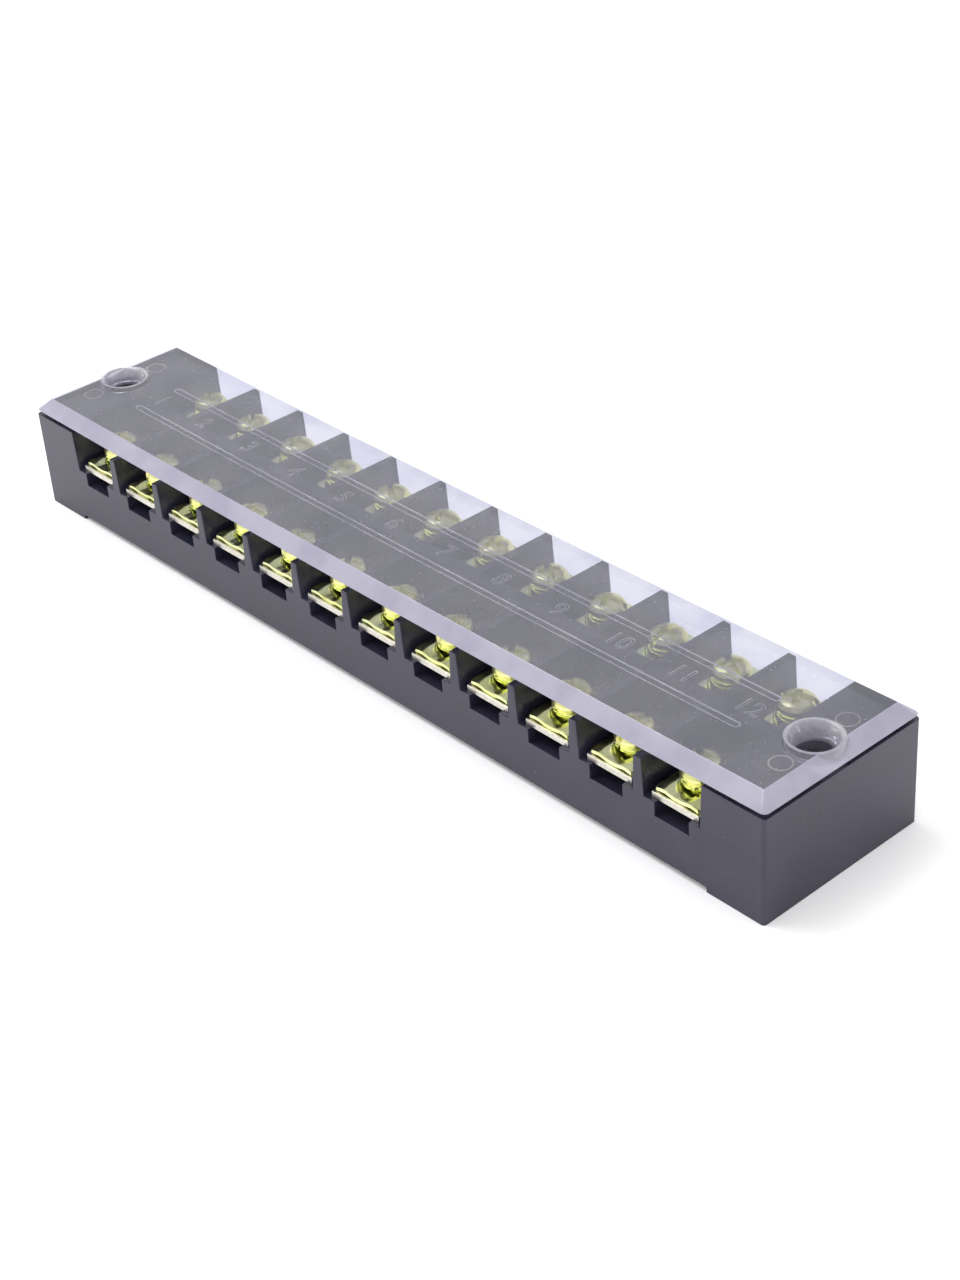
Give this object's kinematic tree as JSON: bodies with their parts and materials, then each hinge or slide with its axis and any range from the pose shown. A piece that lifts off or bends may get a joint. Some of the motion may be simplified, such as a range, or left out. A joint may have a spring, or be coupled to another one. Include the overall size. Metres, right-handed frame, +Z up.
{
  "type": "barrier terminal strip",
  "caption": "Barrier terminal strip: moulded base with open cells on both long sides, screw clamps on link straps, and a clear bevelled cover on hollow end pegs.",
  "frame": {"origin": "centre of the underside, between the two feet", "axes": "+X along the strip towards pole twelve, +Y towards the rear wire entries, +Z up through the cover"},
  "size_m": [0.164, 0.03, 0.0194],
  "materials": {
    "black_moulding": "satin",
    "clear_cover": "clear, slightly hazy",
    "strap_metal": "plated",
    "yellow_zinc": "yellow zinc plate"
  },
  "bodies": {
    "strip": {"base": "black_moulding", "link_straps": "strap_metal"},
    "lid": {"cover": "clear_cover"},
    "plate_front_01": {"clamp_plate_front_01": "yellow_zinc"},
    "screw_front_01": {"terminal_screw_front_01": "yellow_zinc"},
    "plate_front_02": {"clamp_plate_front_02": "yellow_zinc"},
    "screw_front_02": {"terminal_screw_front_02": "yellow_zinc"},
    "plate_front_03": {"clamp_plate_front_03": "yellow_zinc"},
    "screw_front_03": {"terminal_screw_front_03": "yellow_zinc"},
    "plate_front_04": {"clamp_plate_front_04": "yellow_zinc"},
    "screw_front_04": {"terminal_screw_front_04": "yellow_zinc"},
    "plate_front_05": {"clamp_plate_front_05": "yellow_zinc"},
    "screw_front_05": {"terminal_screw_front_05": "yellow_zinc"},
    "plate_front_06": {"clamp_plate_front_06": "yellow_zinc"},
    "screw_front_06": {"terminal_screw_front_06": "yellow_zinc"},
    "plate_front_07": {"clamp_plate_front_07": "yellow_zinc"},
    "screw_front_07": {"terminal_screw_front_07": "yellow_zinc"},
    "plate_front_08": {"clamp_plate_front_08": "yellow_zinc"},
    "screw_front_08": {"terminal_screw_front_08": "yellow_zinc"},
    "plate_front_09": {"clamp_plate_front_09": "yellow_zinc"},
    "screw_front_09": {"terminal_screw_front_09": "yellow_zinc"},
    "plate_front_10": {"clamp_plate_front_10": "yellow_zinc"},
    "screw_front_10": {"terminal_screw_front_10": "yellow_zinc"},
    "plate_front_11": {"clamp_plate_front_11": "yellow_zinc"},
    "screw_front_11": {"terminal_screw_front_11": "yellow_zinc"},
    "plate_front_12": {"clamp_plate_front_12": "yellow_zinc"},
    "screw_front_12": {"terminal_screw_front_12": "yellow_zinc"},
    "plate_rear_01": {"clamp_plate_rear_01": "yellow_zinc"},
    "screw_rear_01": {"terminal_screw_rear_01": "yellow_zinc"},
    "plate_rear_02": {"clamp_plate_rear_02": "yellow_zinc"},
    "screw_rear_02": {"terminal_screw_rear_02": "yellow_zinc"},
    "plate_rear_03": {"clamp_plate_rear_03": "yellow_zinc"},
    "screw_rear_03": {"terminal_screw_rear_03": "yellow_zinc"},
    "plate_rear_04": {"clamp_plate_rear_04": "yellow_zinc"},
    "screw_rear_04": {"terminal_screw_rear_04": "yellow_zinc"},
    "plate_rear_05": {"clamp_plate_rear_05": "yellow_zinc"},
    "screw_rear_05": {"terminal_screw_rear_05": "yellow_zinc"},
    "plate_rear_06": {"clamp_plate_rear_06": "yellow_zinc"},
    "screw_rear_06": {"terminal_screw_rear_06": "yellow_zinc"},
    "plate_rear_07": {"clamp_plate_rear_07": "yellow_zinc"},
    "screw_rear_07": {"terminal_screw_rear_07": "yellow_zinc"},
    "plate_rear_08": {"clamp_plate_rear_08": "yellow_zinc"},
    "screw_rear_08": {"terminal_screw_rear_08": "yellow_zinc"},
    "plate_rear_09": {"clamp_plate_rear_09": "yellow_zinc"},
    "screw_rear_09": {"terminal_screw_rear_09": "yellow_zinc"},
    "plate_rear_10": {"clamp_plate_rear_10": "yellow_zinc"},
    "screw_rear_10": {"terminal_screw_rear_10": "yellow_zinc"},
    "plate_rear_11": {"clamp_plate_rear_11": "yellow_zinc"},
    "screw_rear_11": {"terminal_screw_rear_11": "yellow_zinc"},
    "plate_rear_12": {"clamp_plate_rear_12": "yellow_zinc"},
    "screw_rear_12": {"terminal_screw_rear_12": "yellow_zinc"}
  },
  "joints": [
    {"name": "cover_lift", "type": "slide", "parent": "strip", "child": "lid", "axis": [0, 0, 1], "range_m": [0, 0.02]},
    {"name": "plate_rise_front_01", "type": "slide", "parent": "strip", "child": "plate_front_01", "axis": [0, 0, 1], "range_m": [0, 0.0012]},
    {"name": "screw_turn_front_01", "type": "hinge", "parent": "plate_front_01", "child": "screw_front_01", "pos_m": [-0.066, -0.0092, 0.0126], "axis": [0, 0, 1], "range_deg": [0, 720]},
    {"name": "plate_rise_front_02", "type": "slide", "parent": "strip", "child": "plate_front_02", "axis": [0, 0, 1], "range_m": [0, 0.0012]},
    {"name": "screw_turn_front_02", "type": "hinge", "parent": "plate_front_02", "child": "screw_front_02", "pos_m": [-0.054, -0.0092, 0.0126], "axis": [0, 0, 1], "range_deg": [0, 720]},
    {"name": "plate_rise_front_03", "type": "slide", "parent": "strip", "child": "plate_front_03", "axis": [0, 0, 1], "range_m": [0, 0.0012]},
    {"name": "screw_turn_front_03", "type": "hinge", "parent": "plate_front_03", "child": "screw_front_03", "pos_m": [-0.042, -0.0092, 0.0126], "axis": [0, 0, 1], "range_deg": [0, 720]},
    {"name": "plate_rise_front_04", "type": "slide", "parent": "strip", "child": "plate_front_04", "axis": [0, 0, 1], "range_m": [0, 0.0012]},
    {"name": "screw_turn_front_04", "type": "hinge", "parent": "plate_front_04", "child": "screw_front_04", "pos_m": [-0.03, -0.0092, 0.0126], "axis": [0, 0, 1], "range_deg": [0, 720]},
    {"name": "plate_rise_front_05", "type": "slide", "parent": "strip", "child": "plate_front_05", "axis": [0, 0, 1], "range_m": [0, 0.0012]},
    {"name": "screw_turn_front_05", "type": "hinge", "parent": "plate_front_05", "child": "screw_front_05", "pos_m": [-0.018, -0.0092, 0.0126], "axis": [0, 0, 1], "range_deg": [0, 720]},
    {"name": "plate_rise_front_06", "type": "slide", "parent": "strip", "child": "plate_front_06", "axis": [0, 0, 1], "range_m": [0, 0.0012]},
    {"name": "screw_turn_front_06", "type": "hinge", "parent": "plate_front_06", "child": "screw_front_06", "pos_m": [-0.006, -0.0092, 0.0126], "axis": [0, 0, 1], "range_deg": [0, 720]},
    {"name": "plate_rise_front_07", "type": "slide", "parent": "strip", "child": "plate_front_07", "axis": [0, 0, 1], "range_m": [0, 0.0012]},
    {"name": "screw_turn_front_07", "type": "hinge", "parent": "plate_front_07", "child": "screw_front_07", "pos_m": [0.006, -0.0092, 0.0126], "axis": [0, 0, 1], "range_deg": [0, 720]},
    {"name": "plate_rise_front_08", "type": "slide", "parent": "strip", "child": "plate_front_08", "axis": [0, 0, 1], "range_m": [0, 0.0012]},
    {"name": "screw_turn_front_08", "type": "hinge", "parent": "plate_front_08", "child": "screw_front_08", "pos_m": [0.018, -0.0092, 0.0126], "axis": [0, 0, 1], "range_deg": [0, 720]},
    {"name": "plate_rise_front_09", "type": "slide", "parent": "strip", "child": "plate_front_09", "axis": [0, 0, 1], "range_m": [0, 0.0012]},
    {"name": "screw_turn_front_09", "type": "hinge", "parent": "plate_front_09", "child": "screw_front_09", "pos_m": [0.03, -0.0092, 0.0126], "axis": [0, 0, 1], "range_deg": [0, 720]},
    {"name": "plate_rise_front_10", "type": "slide", "parent": "strip", "child": "plate_front_10", "axis": [0, 0, 1], "range_m": [0, 0.0012]},
    {"name": "screw_turn_front_10", "type": "hinge", "parent": "plate_front_10", "child": "screw_front_10", "pos_m": [0.042, -0.0092, 0.0126], "axis": [0, 0, 1], "range_deg": [0, 720]},
    {"name": "plate_rise_front_11", "type": "slide", "parent": "strip", "child": "plate_front_11", "axis": [0, 0, 1], "range_m": [0, 0.0012]},
    {"name": "screw_turn_front_11", "type": "hinge", "parent": "plate_front_11", "child": "screw_front_11", "pos_m": [0.054, -0.0092, 0.0126], "axis": [0, 0, 1], "range_deg": [0, 720]},
    {"name": "plate_rise_front_12", "type": "slide", "parent": "strip", "child": "plate_front_12", "axis": [0, 0, 1], "range_m": [0, 0.0012]},
    {"name": "screw_turn_front_12", "type": "hinge", "parent": "plate_front_12", "child": "screw_front_12", "pos_m": [0.066, -0.0092, 0.0126], "axis": [0, 0, 1], "range_deg": [0, 720]},
    {"name": "plate_rise_rear_01", "type": "slide", "parent": "strip", "child": "plate_rear_01", "axis": [0, 0, 1], "range_m": [0, 0.0012]},
    {"name": "screw_turn_rear_01", "type": "hinge", "parent": "plate_rear_01", "child": "screw_rear_01", "pos_m": [-0.066, 0.0092, 0.0126], "axis": [0, 0, 1], "range_deg": [0, 720]},
    {"name": "plate_rise_rear_02", "type": "slide", "parent": "strip", "child": "plate_rear_02", "axis": [0, 0, 1], "range_m": [0, 0.0012]},
    {"name": "screw_turn_rear_02", "type": "hinge", "parent": "plate_rear_02", "child": "screw_rear_02", "pos_m": [-0.054, 0.0092, 0.0126], "axis": [0, 0, 1], "range_deg": [0, 720]},
    {"name": "plate_rise_rear_03", "type": "slide", "parent": "strip", "child": "plate_rear_03", "axis": [0, 0, 1], "range_m": [0, 0.0012]},
    {"name": "screw_turn_rear_03", "type": "hinge", "parent": "plate_rear_03", "child": "screw_rear_03", "pos_m": [-0.042, 0.0092, 0.0126], "axis": [0, 0, 1], "range_deg": [0, 720]},
    {"name": "plate_rise_rear_04", "type": "slide", "parent": "strip", "child": "plate_rear_04", "axis": [0, 0, 1], "range_m": [0, 0.0012]},
    {"name": "screw_turn_rear_04", "type": "hinge", "parent": "plate_rear_04", "child": "screw_rear_04", "pos_m": [-0.03, 0.0092, 0.0126], "axis": [0, 0, 1], "range_deg": [0, 720]},
    {"name": "plate_rise_rear_05", "type": "slide", "parent": "strip", "child": "plate_rear_05", "axis": [0, 0, 1], "range_m": [0, 0.0012]},
    {"name": "screw_turn_rear_05", "type": "hinge", "parent": "plate_rear_05", "child": "screw_rear_05", "pos_m": [-0.018, 0.0092, 0.0126], "axis": [0, 0, 1], "range_deg": [0, 720]},
    {"name": "plate_rise_rear_06", "type": "slide", "parent": "strip", "child": "plate_rear_06", "axis": [0, 0, 1], "range_m": [0, 0.0012]},
    {"name": "screw_turn_rear_06", "type": "hinge", "parent": "plate_rear_06", "child": "screw_rear_06", "pos_m": [-0.006, 0.0092, 0.0126], "axis": [0, 0, 1], "range_deg": [0, 720]},
    {"name": "plate_rise_rear_07", "type": "slide", "parent": "strip", "child": "plate_rear_07", "axis": [0, 0, 1], "range_m": [0, 0.0012]},
    {"name": "screw_turn_rear_07", "type": "hinge", "parent": "plate_rear_07", "child": "screw_rear_07", "pos_m": [0.006, 0.0092, 0.0126], "axis": [0, 0, 1], "range_deg": [0, 720]},
    {"name": "plate_rise_rear_08", "type": "slide", "parent": "strip", "child": "plate_rear_08", "axis": [0, 0, 1], "range_m": [0, 0.0012]},
    {"name": "screw_turn_rear_08", "type": "hinge", "parent": "plate_rear_08", "child": "screw_rear_08", "pos_m": [0.018, 0.0092, 0.0126], "axis": [0, 0, 1], "range_deg": [0, 720]},
    {"name": "plate_rise_rear_09", "type": "slide", "parent": "strip", "child": "plate_rear_09", "axis": [0, 0, 1], "range_m": [0, 0.0012]},
    {"name": "screw_turn_rear_09", "type": "hinge", "parent": "plate_rear_09", "child": "screw_rear_09", "pos_m": [0.03, 0.0092, 0.0126], "axis": [0, 0, 1], "range_deg": [0, 720]},
    {"name": "plate_rise_rear_10", "type": "slide", "parent": "strip", "child": "plate_rear_10", "axis": [0, 0, 1], "range_m": [0, 0.0012]},
    {"name": "screw_turn_rear_10", "type": "hinge", "parent": "plate_rear_10", "child": "screw_rear_10", "pos_m": [0.042, 0.0092, 0.0126], "axis": [0, 0, 1], "range_deg": [0, 720]},
    {"name": "plate_rise_rear_11", "type": "slide", "parent": "strip", "child": "plate_rear_11", "axis": [0, 0, 1], "range_m": [0, 0.0012]},
    {"name": "screw_turn_rear_11", "type": "hinge", "parent": "plate_rear_11", "child": "screw_rear_11", "pos_m": [0.054, 0.0092, 0.0126], "axis": [0, 0, 1], "range_deg": [0, 720]},
    {"name": "plate_rise_rear_12", "type": "slide", "parent": "strip", "child": "plate_rear_12", "axis": [0, 0, 1], "range_m": [0, 0.0012]},
    {"name": "screw_turn_rear_12", "type": "hinge", "parent": "plate_rear_12", "child": "screw_rear_12", "pos_m": [0.066, 0.0092, 0.0126], "axis": [0, 0, 1], "range_deg": [0, 720]}
  ],
  "couplings": [
    {"joint": "screw_turn_front_01", "follows": "plate_rise_front_01", "rad_per_m": 10472},
    {"joint": "screw_turn_front_02", "follows": "plate_rise_front_02", "rad_per_m": 10472},
    {"joint": "screw_turn_front_03", "follows": "plate_rise_front_03", "rad_per_m": 10472},
    {"joint": "screw_turn_front_04", "follows": "plate_rise_front_04", "rad_per_m": 10472},
    {"joint": "screw_turn_front_05", "follows": "plate_rise_front_05", "rad_per_m": 10472},
    {"joint": "screw_turn_front_06", "follows": "plate_rise_front_06", "rad_per_m": 10472},
    {"joint": "screw_turn_front_07", "follows": "plate_rise_front_07", "rad_per_m": 10472},
    {"joint": "screw_turn_front_08", "follows": "plate_rise_front_08", "rad_per_m": 10472},
    {"joint": "screw_turn_front_09", "follows": "plate_rise_front_09", "rad_per_m": 10472},
    {"joint": "screw_turn_front_10", "follows": "plate_rise_front_10", "rad_per_m": 10472},
    {"joint": "screw_turn_front_11", "follows": "plate_rise_front_11", "rad_per_m": 10472},
    {"joint": "screw_turn_front_12", "follows": "plate_rise_front_12", "rad_per_m": 10472},
    {"joint": "screw_turn_rear_01", "follows": "plate_rise_rear_01", "rad_per_m": 10472},
    {"joint": "screw_turn_rear_02", "follows": "plate_rise_rear_02", "rad_per_m": 10472},
    {"joint": "screw_turn_rear_03", "follows": "plate_rise_rear_03", "rad_per_m": 10472},
    {"joint": "screw_turn_rear_04", "follows": "plate_rise_rear_04", "rad_per_m": 10472},
    {"joint": "screw_turn_rear_05", "follows": "plate_rise_rear_05", "rad_per_m": 10472},
    {"joint": "screw_turn_rear_06", "follows": "plate_rise_rear_06", "rad_per_m": 10472},
    {"joint": "screw_turn_rear_07", "follows": "plate_rise_rear_07", "rad_per_m": 10472},
    {"joint": "screw_turn_rear_08", "follows": "plate_rise_rear_08", "rad_per_m": 10472},
    {"joint": "screw_turn_rear_09", "follows": "plate_rise_rear_09", "rad_per_m": 10472},
    {"joint": "screw_turn_rear_10", "follows": "plate_rise_rear_10", "rad_per_m": 10472},
    {"joint": "screw_turn_rear_11", "follows": "plate_rise_rear_11", "rad_per_m": 10472},
    {"joint": "screw_turn_rear_12", "follows": "plate_rise_rear_12", "rad_per_m": 10472}
  ]
}
